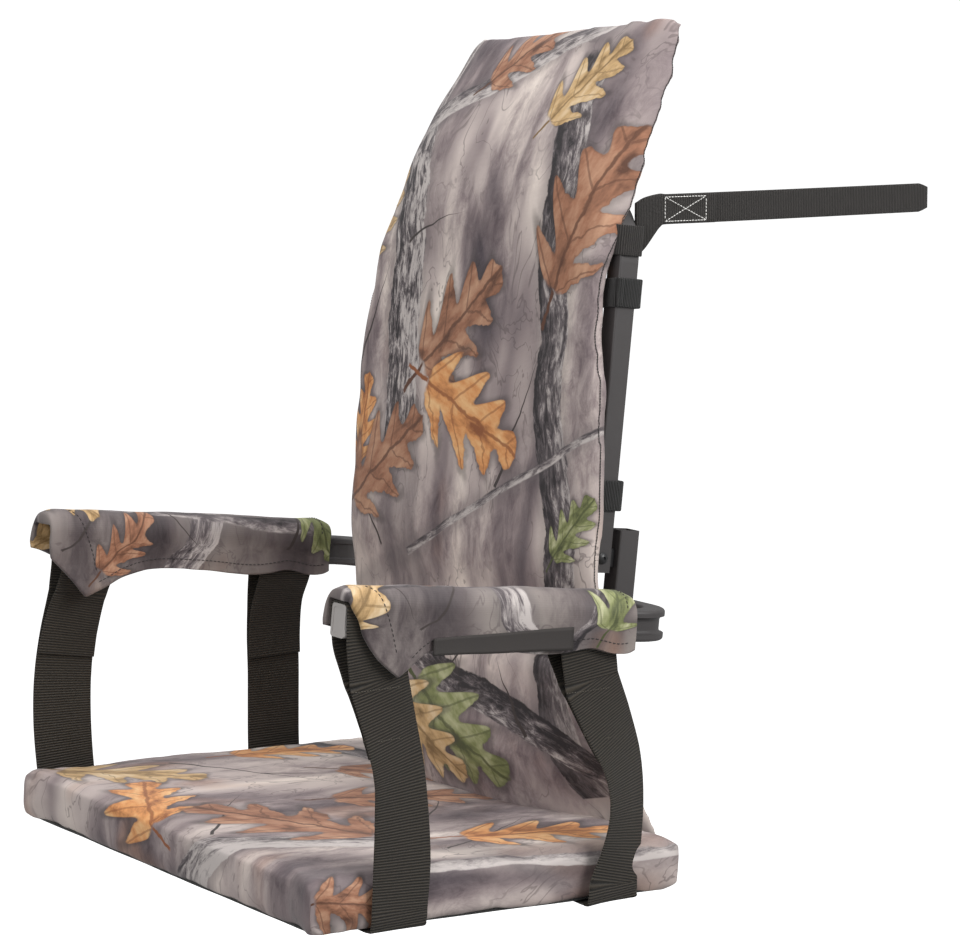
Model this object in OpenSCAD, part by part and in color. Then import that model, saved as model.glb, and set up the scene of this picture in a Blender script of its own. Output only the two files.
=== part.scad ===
// Seat section of a climbing tree stand: a U-shaped arm rail, a folding back hoop,
// a cushion hung on two webbing straps, a back pad, two arm pads and a tree strap.
// +Z is up, the sitter faces -Y, and the origin is the middle of the rear bar's outer face.

/* [Arm rail] */
// Distance between the middles of the two arms
arm_spacing = 480; // [440:5:520]
// Length of the rail from front end to rear face
rail_length = 322; // [300:2:360]
// Height of the rail section
rail_h = 25.4; // [24:0.2:28]
// Width of the rail section
rail_w = 19.5; // [18:0.5:20]
// Radius of the rail's outer corner
rail_corner_r = 46; // [36:2:56]
// Angle by which the arms rise towards the front
arm_tilt = 6.2; // [4:0.2:8]

/* [Back hoop] */
// Distance between the middles of the two legs
leg_spacing = 330; // [310:5:340]
// Side of the square tube
tube = 19; // [18:0.5:20]
// Wall of the square tube
tube_wall = 1.5; // [1.2:0.1:2]
// Height of the top bar's middle above the rail's middle
hoop_h = 340; // [330:2:360]
// Bend radius at the middle of the tube
hoop_bend_r = 50; // [40:2:60]
// Clear gap between the legs and the sockets behind them
leg_gap = 7; // [6:0.5:8]

/* [Pivots] */
// Height of the pivot above the rail's middle
pivot_h = 46; // [44:1:50]
// Diameter of the pivot bolt
bolt_d = 6; // [5:0.5:6]
// Thickness of the lug inside each leg
lug_t = 6; // [5:0.5:7]
// Height of the socket tube above the rail
socket_h = 57; // [55:1:65]

/* [Seat] */
// Width of the seat cushion
seat_w = 500; // [480:5:510]
// Depth of the seat cushion
seat_d = 353; // [340:1:360]
// Thickness of the seat cushion
seat_t = 44; // [38:1:48]
// Height of the cushion's top at its middle
seat_top = -169; // [-180:1:-160]

/* [Webbing] */
// Width of the seat webbing
web_w = 53; // [50:1:56]
// Thickness of the seat webbing
web_t = 1.8; // [1.4:0.1:2]
// Width of the tree strap
tree_strap_w = 25; // [25:0.5:26]

/* [Back pad] */
// Thickness of the back pad
pad_t = 20; // [16:1:20]
// Width of the back pad at the bottom
pad_w = 392; // [380:2:396]

/* [Arm pads] */
// Length of each arm pad
arm_pad_l = 292; // [280:2:300]
// Thickness of the padding on top of the rail
arm_pad_t = 12; // [10:1:14]

/* [Hidden] */
$fn = 48;
fabric_t = 1.2;
gap = 0.4;
arm_x = arm_spacing / 2;
leg_x = leg_spacing / 2;
corner_mid_r = rail_corner_r - rail_w / 2;
groove_h = 14;
groove_depth = 4;
inner_groove_depth = 1.5;
rail_wall = 2.2;
socket_y = -rail_w / 2;
leg_y = -rail_w - leg_gap - tube / 2;
leg_foot = 12;
bore_r = bolt_d / 2 + 0.05;
lug_r = tube / 2 - tube_wall - 0.5;
seat_tilt = 1.6;
seat_mid_y = -178.5;
seat_corner_r = 16;
front_strap_y = -296;
rear_strap_y = -98;
cavity_x = rail_w / 2 + web_t + 1;
cavity_top = rail_h / 2 + web_t + 0.9;
pad_mid_y = leg_y - tube / 2 - pad_t / 2 - 4;
waist_r = 44.5;
pad_top_h = 484;
strap_loop_h = 308;

// ---- helpers ----

// Places children in the rail's own frame, which rises towards the front.
module on_rail() rotate([-arm_tilt, 0, 0]) children();

// Mirrors children to the other side as well.
module both_sides() {
    children();
    mirror([1, 0, 0]) children();
}

// Extrudes a drawing of Y across and Z up along X, centred.
module along_x(length) rotate([90, 0, 90]) linear_extrude(length, center = true) children();

// Extrudes a drawing of X across and Z up along Y, centred.
module along_y(length) rotate([90, 0, 0]) linear_extrude(length, center = true) children();

module rounded_rect(w, h, r) {
    square([w - 2 * r, h], center = true);
    square([w, h - 2 * r], center = true);
    for (x = [-1, 1], y = [-1, 1]) translate([x * (w / 2 - r), y * (h / 2 - r)]) circle(r);
}

function reversed(list) = [for (i = [len(list) - 1:-1:0]) list[i]];
function unit(v) = v / norm(v);
function left_of(v) = [-v[1], v[0]];
function heading(path, i) = unit(path[min(i + 1, len(path) - 1)] - path[max(i, 0)]);
function turn_normal(path, i) =
    let (last = len(path) - 1,
         before = left_of(heading(path, i == 0 ? 0 : i - 1)),
         after = left_of(heading(path, i == last ? last - 1 : i)),
         middle = unit(before + after))
    middle / (middle * before);
function shifted(path, d) = [for (i = [0:len(path) - 1]) path[i] + d * turn_normal(path, i)];

// A flat strip that follows a path, between two distances to its left.
module strip(path, from, to) polygon(concat(shifted(path, from), reversed(shifted(path, to))));

// ---- arm rail ----

module rail_section() difference() {
    rounded_rect(rail_w, rail_h, 2.8);
    translate([rail_w / 2 + 10 - groove_depth, 0]) rounded_rect(20, groove_h, 3.4);
    translate([-rail_w / 2 - 10 + inner_groove_depth, 0]) rounded_rect(20, groove_h, 1.2);
    translate([-(groove_depth - inner_groove_depth) / 2, 0])
        square([rail_w - groove_depth - inner_groove_depth - 2 * rail_wall, rail_h - 2 * rail_wall], center = true);
}

module rail_arm() {
    arm_l = rail_length - rail_corner_r;
    translate([arm_x, -rail_corner_r - arm_l / 2, 0]) along_y(arm_l) rail_section();
}

module rail_corner() translate([arm_x - corner_mid_r, -rail_corner_r, 0])
    rotate_extrude(angle = 90, $fn = 96) translate([corner_mid_r, 0]) rail_section();

module rear_bar() translate([0, -rail_w / 2, 0]) along_x(2 * (arm_x - corner_mid_r)) rail_section();

module arm_rail() color("#3b3d3f") on_rail() union() {
    both_sides() {
        rail_arm();
        rail_corner();
    }
    rear_bar();
}

module end_caps() color("#8f9294") on_rail() both_sides() translate([arm_x, -rail_length, 0]) {
    difference() {
        translate([0, -1.5 - 0.05, 0]) along_y(3) rounded_rect(rail_w + 0.6, rail_h + 0.6, 3);
        translate([0, -3.05, 0]) along_y(0.8) rounded_rect(rail_w - 5, rail_h - 5, 2);
    }
}

// ---- sockets, lugs and pivots ----

module socket_tube() translate([leg_x, socket_y, rail_h / 2]) difference() {
    linear_extrude(socket_h) rounded_rect(tube, rail_w, 2);
    translate([0, 0, 3]) linear_extrude(socket_h) rounded_rect(tube - 2 * 1.6, rail_w - 2 * 1.6, 1.2);
}

module socket_tubes() color("#3b3d3f") on_rail() both_sides() socket_tube();

module lug() translate([leg_x, 0, pivot_h]) difference() {
    union() {
        translate([0, leg_y, 0]) rotate([0, 90, 0]) cylinder(r = lug_r, h = lug_t, center = true);
        translate([-lug_t / 2, leg_y, -lug_r]) cube([lug_t, -rail_w - leg_y, 2 * lug_r]);
    }
    translate([0, leg_y, 0]) rotate([0, 90, 0]) cylinder(r = bore_r, h = lug_t + 2, center = true);
}

module pivot_lugs() color("#2c2d2e") on_rail() both_sides() lug();

// Puts children at the pivot, with their own +Z along +X.
module at_pivot() translate([leg_x, leg_y, pivot_h]) rotate([0, 90, 0]) children();

module bush() {
    length = tube / 2 - tube_wall - lug_t / 2 - 0.2;
    translate([0, 0, lug_t / 2 + 0.1]) difference() {
        cylinder(r = 5.5, h = length);
        translate([0, 0, -1]) cylinder(r = bore_r, h = length + 2);
    }
}

module pivot_bushes() color("#1b1b1b") on_rail() both_sides() at_pivot() {
    bush();
    mirror([0, 0, 1]) bush();
}

module bolt() {
    translate([0, 0, -tube / 2 - 8]) cylinder(r = bolt_d / 2, h = tube + 8.1);
    translate([0, 0, tube / 2 + 0.1]) intersection() {
        cylinder(r = 4.8, h = 3);
        translate([0, 0, -3.6]) sphere(r = 6.4, $fn = 64);
    }
}

module pivot_bolts() color("#26282a") on_rail() both_sides() at_pivot() difference() {
    bolt();
    translate([0, 0, tube / 2 + 1.4]) cylinder(r = 1.9, h = 4, $fn = 6);
}

module nut() translate([0, 0, -tube / 2 - 6.6]) difference() {
    union() {
        cylinder(r = 5.4, h = 4.4, $fn = 6);
        translate([0, 0, 4.4]) cylinder(r = 5.8, h = 1.6);
    }
    translate([0, 0, -1]) cylinder(r = bore_r, h = 9);
}

module pivot_nuts() color("#8b8d8f") on_rail() both_sides() at_pivot() nut();

// ---- back hoop ----

module hoop_section(side) rounded_rect(side, side, side > tube - 1 ? 2 : 0.8);

module leg(side, foot, top) translate([leg_x, leg_y, foot]) linear_extrude(top - foot) hoop_section(side);

module hoop_bend(side) translate([leg_x - hoop_bend_r, leg_y, hoop_h - hoop_bend_r]) rotate([90, 0, 0])
    rotate_extrude(angle = 90, $fn = 96) translate([hoop_bend_r, 0]) hoop_section(side);

module hoop_solid(side, foot) {
    both_sides() {
        leg(side, foot, hoop_h - hoop_bend_r);
        hoop_bend(side);
    }
    translate([0, leg_y, hoop_h]) along_x(2 * (leg_x - hoop_bend_r)) hoop_section(side);
}

module leg_slot() translate([leg_x - lug_t / 2 - 0.5, leg_y, pivot_h - leg_foot - 1])
    cube([lug_t + 1, tube, leg_foot + 1 + lug_r + 0.6]);

module back_hoop() color("#3b3d3f") on_rail() difference() {
    hoop_solid(tube, pivot_h - leg_foot);
    hoop_solid(tube - 2 * tube_wall, pivot_h - leg_foot - 1);
    both_sides() {
        leg_slot();
        at_pivot() cylinder(r = bore_r, h = 2 * tube, center = true);
    }
}

// ---- seat cushion ----

// Places children in the cushion's frame: its top surface's middle at the origin.
module on_seat() translate([0, seat_mid_y, seat_top]) rotate([-seat_tilt, 0, 0]) children();

module seat_block(inset, bottom, top) translate([0, 0, bottom]) linear_extrude(top - bottom)
    rounded_rect(seat_w - 2 * inset, seat_d - 2 * inset, seat_corner_r - inset);

module seat_cover() color("#8d8894") on_seat() difference() {
    seat_block(0, -seat_t, 0);
    seat_block(fabric_t, -seat_t - 1, -fabric_t);
}

module seat_foam() color("#d9d4c4") on_seat()
    seat_block(fabric_t + 0.2, -seat_t + fabric_t + 0.2, -fabric_t - 0.2);

module seat_base_panel() color("#1c1c1d") on_seat()
    seat_block(fabric_t + 0.1, -seat_t, -seat_t + fabric_t);

// ---- seat straps ----

strap_loop_w = rail_w + 2 * web_t + 1.4;
strap_loop_top = rail_h / 2 + gap + web_t;

// The loop round the arm, drawn square to the rail.
module strap_ring() translate([arm_x, 0]) difference() {
    rounded_rect(strap_loop_w, 2 * strap_loop_top, 4);
    rounded_rect(strap_loop_w - 2 * web_t, 2 * (strap_loop_top - web_t), 2.2);
}

// The drop from the loop to under the cushion, on the +X side.
module strap_drop(rail_z, drop) {
    side_x = seat_w / 2 + gap + web_t / 2;
    under_z = seat_top - seat_t - gap - web_t / 2 + drop;
    join_z = rail_z - strap_loop_top + web_t / 2 + 4;
    strip([[arm_x, join_z], [side_x, seat_top + 3], [side_x, under_z + 1.5], [side_x - 1.5, under_z], [-1, under_z]],
          -web_t / 2, web_t / 2);
}

module seat_strap(y) {
    on_rail() translate([0, y / cos(arm_tilt), 0]) along_y(web_w) both_sides() strap_ring();
    difference() {
        translate([0, y, 0]) along_y(web_w) both_sides() strap_drop(rail_mid_z(y), seat_drop(y));
        on_rail() translate([0, y, 50 - strap_loop_top + web_t / 2]) cube([600, 2 * web_w, 100], center = true);
    }
}

// Height of the rail's middle, and of the cushion against its own middle, at a given Y.
function rail_mid_z(y) = -y * tan(arm_tilt);
function seat_drop(y) = -(y - seat_mid_y) * tan(seat_tilt) - 1.4;

module front_seat_strap() color("#1f1c19") seat_strap(front_strap_y);

module rear_seat_strap() color("#1f1c19") seat_strap(rear_strap_y);

// ---- back pad ----

// Side view of the upper pad's middle surface, in the rail's frame.
upper_path = [[pad_mid_y, pivot_h + 18], [pad_mid_y, hoop_h - 4], [pad_mid_y + 20, hoop_h + 62], [4, pad_top_h]];

// Half of the upper pad's outline seen from the front, from the waist up.
upper_outline = [
    [pad_w / 2, pivot_h], [pad_w / 2, 180], [pad_w / 2 - 13, 236], [pad_w / 2 - 18, 290],
    [pad_w / 2 - 21, 350], [pad_w / 2 - 28, 405], [pad_w / 2 - 34, 440], [pad_w / 2 - 44, 468],
    [pad_w / 2 - 66, pad_top_h + 8]
];

// Side view of the lower pad's middle surface, in the part's frame.
lower_path = [[-51.5, 91], [-53.5, 36], [-47, -5], [-40, -60], [-27, -115], [2, -164]];

module front_outline(points, inset) polygon([
    for (p = points) [p[0] - inset, p[1]],
    for (p = reversed(points)) [-p[0] + inset, p[1]]
]);

// The two pads meet along an arc round the pivot, so that the upper one folds clear of the lower.
module waist_arc(r) translate([0, leg_y, pivot_h]) rotate([0, 90, 0]) cylinder(r = r, h = 600, center = true, $fn = 96);

module upper_slab(inset, back, front) on_rail() difference() {
    intersection() {
        along_x(pad_w) strip(upper_path, back, front);
        translate([0, 0, -inset]) along_y(600) front_outline(upper_outline, inset);
    }
    waist_arc(waist_r + 0.5 + inset);
}

module back_pad_cover() color("#8d8894") difference() {
    upper_slab(0, -pad_t / 2, pad_t / 2);
    upper_slab(fabric_t, -pad_t / 2 - 1, pad_t / 2 - fabric_t);
}

module back_pad_foam() color("#d9d4c4")
    upper_slab(fabric_t + 0.2, -pad_t / 2 + fabric_t + 0.2, pad_t / 2 - fabric_t - 0.2);

module back_pad_panel() color("#1c1c1d") upper_slab(fabric_t + 0.1, -pad_t / 2, -pad_t / 2 + fabric_t);

// The lower pad's foot stops just above the cushion.
module lower_slab(inset, back, front) intersection() {
    along_x(pad_w - 2 * inset) strip(lower_path, back, front);
    on_rail() union() {
        waist_arc(waist_r - 0.5 - inset);
        translate([-300, -300, pivot_h - 400]) cube([600, 600, 400]);
    }
    on_seat() translate([-300, -200, 1.5 + inset]) cube([600, 500, 400]);
}

module lumbar_cover() color("#8d8894") difference() {
    lower_slab(0, -pad_t / 2, pad_t / 2);
    lower_slab(fabric_t, -pad_t / 2 + fabric_t, pad_t / 2 + 1);
}

module lumbar_foam() color("#d9d4c4")
    lower_slab(fabric_t + 0.2, -pad_t / 2 + fabric_t + 0.2, pad_t / 2 - fabric_t - 0.2);

module lumbar_panel() color("#1c1c1d") lower_slab(fabric_t + 0.1, pad_t / 2 - fabric_t, pad_t / 2);

// ---- arm pads ----

// Section of the pad over the rail: a thick top and two flaps, open underneath.
flap_t = 5;
flap_drop = rail_h / 2 + 8;

module arm_pad_section() {
    top = cavity_top + arm_pad_t;
    difference() {
        translate([0, (top - flap_drop) / 2]) rounded_rect(2 * (cavity_x + flap_t), top + flap_drop, 7);
        translate([-cavity_x, cavity_top - 100]) square([2 * cavity_x, 100]);
        arm_pad_pocket(0);
    }
}

// The pocket in the padding that holds its foam.
module arm_pad_pocket(inset) translate([0, cavity_top + arm_pad_t / 2])
    square([2 * (cavity_x - inset), arm_pad_t - 2 * (fabric_t + inset)], center = true);

module arm_pad_place() on_rail() translate([arm_x, -rail_length - 28 + arm_pad_l / 2, 0]) children();

module arm_pad() color("#8d8894") arm_pad_place() along_y(arm_pad_l) arm_pad_section();

module arm_foam() color("#d9d4c4") arm_pad_place()
    along_y(arm_pad_l - 12) arm_pad_pocket(0.2);

module arm_pad_left() arm_pad();
module arm_pad_right() mirror([1, 0, 0]) arm_pad();
module arm_foam_left() arm_foam();
module arm_foam_right() mirror([1, 0, 0]) arm_foam();

// The hook strip that closes each pad, on the outer flap.
module arm_strips() color("#2a2a2b") both_sides() arm_pad_place()
    translate([cavity_x + flap_t + 0.1, -42, -18]) cube([1.4, 126, 19]);

// ---- collars ----

module collar(h, height) on_rail() translate([leg_x, leg_y + 2, h - height / 2]) linear_extrude(height) difference() {
    rounded_rect(tube + 5, tube + 8, 3);
    translate([0, -2]) square(tube + 0.6, center = true);
}

module upper_collars() color("#161616") both_sides() collar(264, 24);
module lower_collars() color("#161616") both_sides() collar(98, 25);

// ---- tree strap and buckle ----

// Middle of each strap loop on the leg, in the part's frame.
loop_y = leg_y * cos(arm_tilt) + strap_loop_h * sin(arm_tilt);
loop_z = -leg_y * sin(arm_tilt) + strap_loop_h * cos(arm_tilt);
loop_half = tube / 2 + 2;
tail_z = 334;

// The tree strap's route behind the hoop, seen from above, from the loop to the free end.
tree_route = [[164, 40], [162, 90], [158, 150], [153, 210], [147, 275], [141, 338]];
tree_strap_t = 1.6;

// The ring of webbing round the bend of the hoop, square to the leg.
module hoop_ring() on_rail() translate([leg_x - 7, leg_y, strap_loop_h - tree_strap_w / 2])
    linear_extrude(tree_strap_w) difference() {
        rounded_rect(39, 2 * loop_half + 3.2, 4);
        rounded_rect(35.8, 2 * loop_half, 2.4);
    }

// Extrudes a plan of the webbing to its width, about a given height.
module webbing_at(z) translate([0, 0, z - tree_strap_w / 2]) linear_extrude(tree_strap_w) children();

module tree_strap_loop() color("#1b1b1b") {
    hoop_ring();
    translate([tree_route[0][0], 0, 0]) along_x(2 * tree_strap_t) loop_tab();
}

// Side view of the doubled webbing that rises from the loop to the free end.
module loop_tab() {
    start_y = loop_y + loop_half;
    half = tree_strap_w / 2;
    polygon([
        [start_y, loop_z - half + 2], [tree_route[0][1], tail_z - half],
        [tree_route[0][1], tail_z + half], [start_y, loop_z + half]
    ]);
}

module tree_strap() color("#1b1b1b") webbing_at(tail_z) strip(tree_route, -tree_strap_t / 2, tree_strap_t / 2);

// Places children in the buckle's frame: +Y towards its free end, +X away from the strap.
module on_buckle() translate([-leg_x, loop_y + loop_half + 40, loop_z]) children();

module buckle_strap() color("#1b1b1b") {
    mirror([1, 0, 0]) hoop_ring();
    webbing_at(loop_z) translate([-leg_x - tree_strap_t, loop_y + loop_half + 0.4]) square([2 * tree_strap_t, 37]);
    on_buckle() webbing_at(0) translate([0, 1.2]) difference() {
        rounded_rect(4 * tree_strap_t, 10, 2.4);
        rounded_rect(2 * tree_strap_t, 6.8, 0.8);
    }
}

module buckle_frame() color("#9a9c9e") on_buckle() difference() {
    union() {
        translate([-0.75, -0.6, -16]) cube([1.5, 38, 32]);
        for (z = [-16, 14.5]) translate([-0.75, 10, z]) cube([14, 20, 1.5]);
    }
    translate([-3, 3.2, -13.2]) cube([6, 4.2, 26.4]);
    translate([8.5, 20, 0]) cylinder(r = 2.05, h = 60, center = true);
}

module buckle_pin() color("#8b8d8f") on_buckle() translate([8.5, 20, 0]) union() {
    cylinder(r = 2, h = 35, center = true);
    for (z = [-1, 1]) translate([0, 0, z * 17.2]) cylinder(r = 3.2, h = 2, center = true);
}

// The toothed cam with its thumb lever, which lifts away from the strap.
module cam_profile() {
    circle(5.2);
    translate([-1.5, -4]) square([6, 5]);
    translate([1.2, 0]) square([3.2, 25]);
    translate([2.8, 25]) circle(1.6);
    for (a = [160:20:220]) rotate(a) translate([5, 0]) circle(0.7);
}

module buckle_cam() color("#8b8d8f") on_buckle() translate([8.5, 20, -12.9]) linear_extrude(20) difference() {
    cam_profile();
    circle(2.05);
}

module buckle_spring() color("#6c6e70") on_buckle() translate([8.5, 20, 8]) linear_extrude(5.6) difference() {
    circle(3.8);
    circle(2.3);
}

arm_rail();
end_caps();
socket_tubes();
pivot_lugs();
pivot_bushes();
pivot_bolts();
pivot_nuts();
back_hoop();
seat_cover();
seat_foam();
seat_base_panel();
front_seat_strap();
rear_seat_strap();
back_pad_cover();
back_pad_foam();
back_pad_panel();
lumbar_cover();
lumbar_foam();
lumbar_panel();
arm_pad_left();
arm_pad_right();
arm_foam_left();
arm_foam_right();
arm_strips();
upper_collars();
lower_collars();
tree_strap_loop();
tree_strap();
buckle_strap();
buckle_frame();
buckle_pin();
buckle_cam();
buckle_spring();
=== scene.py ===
"""Looks of the seat section of a climbing tree stand: camouflage pads, webbing, steel tube and studio.

Everything is in metres. +Z is up, the sitter faces -Y, and the origin is the middle of the rear
bar's outer face. "Rail frame" means the arm rail's own frame: y runs along the arms and h is the
height square to them, because the arms rise towards the front.
"""

import math

import bpy
import numpy as np
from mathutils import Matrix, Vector, noise
from mathutils.bvhtree import BVHTree


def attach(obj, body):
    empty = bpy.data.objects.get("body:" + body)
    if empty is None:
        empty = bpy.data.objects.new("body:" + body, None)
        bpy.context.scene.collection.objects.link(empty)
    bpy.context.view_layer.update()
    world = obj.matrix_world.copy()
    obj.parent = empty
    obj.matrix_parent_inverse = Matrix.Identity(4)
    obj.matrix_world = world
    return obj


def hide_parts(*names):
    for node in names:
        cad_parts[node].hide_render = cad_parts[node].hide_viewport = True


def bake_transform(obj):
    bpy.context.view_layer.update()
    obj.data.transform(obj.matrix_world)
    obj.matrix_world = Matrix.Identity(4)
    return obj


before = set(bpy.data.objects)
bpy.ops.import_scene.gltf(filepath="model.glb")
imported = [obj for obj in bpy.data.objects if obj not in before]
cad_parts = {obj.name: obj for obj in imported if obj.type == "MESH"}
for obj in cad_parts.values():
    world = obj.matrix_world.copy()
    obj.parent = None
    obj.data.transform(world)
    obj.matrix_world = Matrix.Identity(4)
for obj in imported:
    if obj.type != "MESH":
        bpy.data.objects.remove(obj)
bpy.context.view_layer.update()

# ---- driving dimensions, as in the CAD source ----

ARM_TILT = math.radians(6.2)
ARM_X = 0.24
RAIL_H = 0.0254
LEG_X, LEG_Y = 0.165, -0.036
TUBE = 0.019
HOOP_H, HOOP_BEND_R = 0.34, 0.05
PIVOT_H = 0.046
SEAT_W, SEAT_D, SEAT_T = 0.5, 0.353, 0.044
SEAT_Y, SEAT_TOP = -0.1785, -0.169
SEAT_TILT = math.radians(1.6)
WEB_W, WEB_T = 0.053, 0.0018
STRAP_Y = {"front": -0.296, "rear": -0.098}
TREE_STRAP_W, TREE_STRAP_T = 0.025, 0.0016
LOOP_H = 0.308
MM = 0.001
SIDES = (("left", 1), ("right", -1))


def rail(x, y, h):
    """A point given in the rail frame."""
    return np.stack(
        np.broadcast_arrays(
            x,
            np.multiply(y, math.cos(ARM_TILT)) + np.multiply(h, math.sin(ARM_TILT)),
            np.multiply(h, math.cos(ARM_TILT)) - np.multiply(y, math.sin(ARM_TILT)),
        ),
        axis=-1,
    )


RAIL_UP = rail(0.0, 0.0, 1.0)


# ---- curves ----


def smooth(points, count):
    """count points, evenly spaced, on a Catmull-Rom curve through the given ones.

    Columns past the third ride along.
    """
    p = np.array(points, float)
    p = np.vstack([2 * p[0] - p[1], p, 2 * p[-1] - p[-2]])
    t = np.linspace(0, 1, 24, endpoint=False)[:, None]
    spans = [
        0.5 * (2 * b + (c - a) * t + (2 * a - 5 * b + 4 * c - d) * t**2 + (3 * b - a - 3 * c + d) * t**3)
        for a, b, c, d in zip(p, p[1:], p[2:], p[3:])
    ]
    fine = np.vstack([*spans, p[-2:-1]])
    step = np.linalg.norm(np.diff(fine[:, :3], axis=0), axis=1)
    run = np.concatenate([[0], np.cumsum(step)])
    wanted = np.linspace(0, run[-1], count)
    return np.stack([np.interp(wanted, run, fine[:, k]) for k in range(p.shape[1])], axis=1)


def lengths(points):
    """How far along a line of points each one is."""
    return np.concatenate([[0], np.cumsum(np.linalg.norm(np.diff(points, axis=0), axis=1))])


def unit(vectors):
    return vectors / np.linalg.norm(vectors, axis=1)[:, None]


def eased(x, low, high):
    """0 up to low, 1 from high on, smoothly between them."""
    t = np.clip((np.asarray(x, float) - low) / (high - low), 0, 1)
    return t * t * (3 - 2 * t)


# ---- mesh helpers ----


def make(name, verts, faces):
    mesh = bpy.data.meshes.new(name)
    mesh.from_pydata([tuple(v) for v in verts], [], faces)
    mesh.validate()
    mesh.polygons.foreach_set("use_smooth", [True] * len(mesh.polygons))
    obj = bpy.data.objects.new(name, mesh)
    bpy.context.scene.collection.objects.link(obj)
    return obj


def coords(obj):
    out = np.empty(len(obj.data.vertices) * 3)
    obj.data.vertices.foreach_get("co", out)
    return out.reshape(-1, 3)


def set_coords(obj, points):
    obj.data.vertices.foreach_set("co", np.ascontiguousarray(points, dtype=np.float32).ravel())
    obj.data.update()


def normals(obj):
    out = np.empty(len(obj.data.vertices) * 3)
    obj.data.vertices.foreach_get("normal", out)
    return out.reshape(-1, 3)


def set_uv(obj, uv):
    """Gives each vertex a place on the cloth, in metres."""
    layer = obj.data.uv_layers.new(name="cloth")
    index = np.empty(len(obj.data.loops), np.int32)
    obj.data.loops.foreach_get("vertex_index", index)
    layer.data.foreach_set("uv", np.asarray(uv, np.float32)[index].ravel())


def grid_faces(rows, cols, start=0, flip=False):
    faces = []
    for r in range(rows - 1):
        for c in range(cols - 1):
            a = start + r * cols + c
            face = (a, a + 1, a + cols + 1, a + cols)
            faces.append(face[::-1] if flip else face)
    return faces


def shell(name, front, back):
    """A closed pad from two grids of the same size, front side wound towards the viewer."""
    rows, cols = front.shape[:2]
    size = rows * cols
    faces = grid_faces(rows, cols) + grid_faces(rows, cols, size, True)
    rim = list(range(cols))
    rim += [r * cols + cols - 1 for r in range(1, rows)]
    rim += [(rows - 1) * cols + c for c in range(cols - 2, -1, -1)]
    rim += [r * cols for r in range(rows - 2, 0, -1)]
    for a, b in zip(rim, rim[1:] + rim[:1]):
        faces.append((b, a, a + size, b + size))
    return make(name, np.vstack([front.reshape(-1, 3), back.reshape(-1, 3)]), faces)


def tube_along(name, line, across, up, corner):
    """A closed strip along line, with the round part of its edges, corner, as a share of its half width.

    across and up are its half width and half thickness vectors at each point.
    """
    sides = 4
    ring = []
    for cx, start in ((1, 0), (-1, 90), (-1, 180), (1, 270)):
        for k in range(sides):
            a = math.radians(start + 90 * k / (sides - 1))
            ring.append((cx * (1 - corner) + corner * math.cos(a), math.sin(a)))
    wide = np.linspace(1 - corner, -(1 - corner), 8)[1:-1]
    above, below = [(w, 1) for w in wide], [(-w, -1) for w in wide]
    ring = ring[:sides] + above + ring[sides : 3 * sides] + below + ring[3 * sides :]
    n = len(ring)
    rows = [p + a * x + b * y for p, a, b in zip(line, across, up) for x, y in ring]
    faces = []
    for r in range(len(line) - 1):
        for k in range(n):
            a, b = r * n + k, r * n + (k + 1) % n
            faces.append((a, b, b + n, a + n))
    faces.append(tuple(range(n))[::-1])
    faces.append(tuple(range((len(line) - 1) * n, len(line) * n)))
    obj = make(name, rows, faces)
    width = np.linalg.norm(across, axis=1)
    run = lengths(line)
    set_uv(obj, [(x * w, s) for w, s in zip(width, run) for x, y in ring])
    obj.data.update()
    return obj


def ribbon(name, line, wide, width, thick, corner=0.08):
    """Webbing along a line. wide is the direction across it at each point."""
    line = np.asarray(line, float)
    along = unit(np.gradient(line, axis=0))
    wide = np.asarray(wide, float)
    wide = unit(wide - (wide * along).sum(1)[:, None] * along)
    up = np.cross(along, wide)
    return tube_along(name, line, wide * width / 2, up * thick / 2, corner)


def apply_modifiers(obj):
    graph = bpy.context.evaluated_depsgraph_get()
    mesh = bpy.data.meshes.new_from_object(obj.evaluated_get(graph))
    obj.modifiers.clear()
    obj.data = mesh
    mesh.polygons.foreach_set("use_smooth", [True] * len(mesh.polygons))


PUFF_FRAMES = 20


def puff(obj, cap):
    """Remeshes a closed pad evenly, then blows it up as cloth, no point moving further than cap."""
    remesh = obj.modifiers.new("even", "REMESH")
    remesh.mode = "VOXEL"
    remesh.voxel_size = 5 * MM
    apply_modifiers(obj)
    cloth = obj.modifiers.new("cloth", "CLOTH")
    cloth.settings.quality = 4
    cloth.settings.use_pressure = True
    cloth.settings.uniform_pressure_force = 4
    cloth.settings.effector_weights.gravity = 0
    cloth.settings.tension_stiffness = 8
    cloth.settings.compression_stiffness = 8
    cloth.settings.shrink_min = -0.02
    cloth.collision_settings.use_collision = False
    start = coords(obj)
    for number in range(1, PUFF_FRAMES + 1):
        bpy.context.scene.frame_set(number)
    graph = bpy.context.evaluated_depsgraph_get()
    blown = np.empty(start.size)
    obj.evaluated_get(graph).data.vertices.foreach_get("co", blown)
    moved = blown.reshape(-1, 3) - start
    reach = np.linalg.norm(moved, axis=1)[:, None]
    obj.modifiers.clear()
    set_coords(obj, start + moved * np.minimum(1, cap / np.maximum(reach, 1e-9)))
    bpy.context.scene.frame_set(1)
    return obj


def refine(obj):
    sub = obj.modifiers.new("finer", "SUBSURF")
    sub.levels = sub.render_levels = 1
    apply_modifiers(obj)


def calm(obj, share, rounds):
    """Smooths a pad's outline, share giving how much at each point."""
    group = obj.vertex_groups.new(name="calm")
    for number in np.flatnonzero(share > 0.02):
        group.add([int(number)], float(share[number]), "REPLACE")
    smoothing = obj.modifiers.new("calm", "SMOOTH")
    smoothing.factor, smoothing.iterations, smoothing.vertex_group = 0.5, rounds, "calm"
    apply_modifiers(obj)


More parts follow.
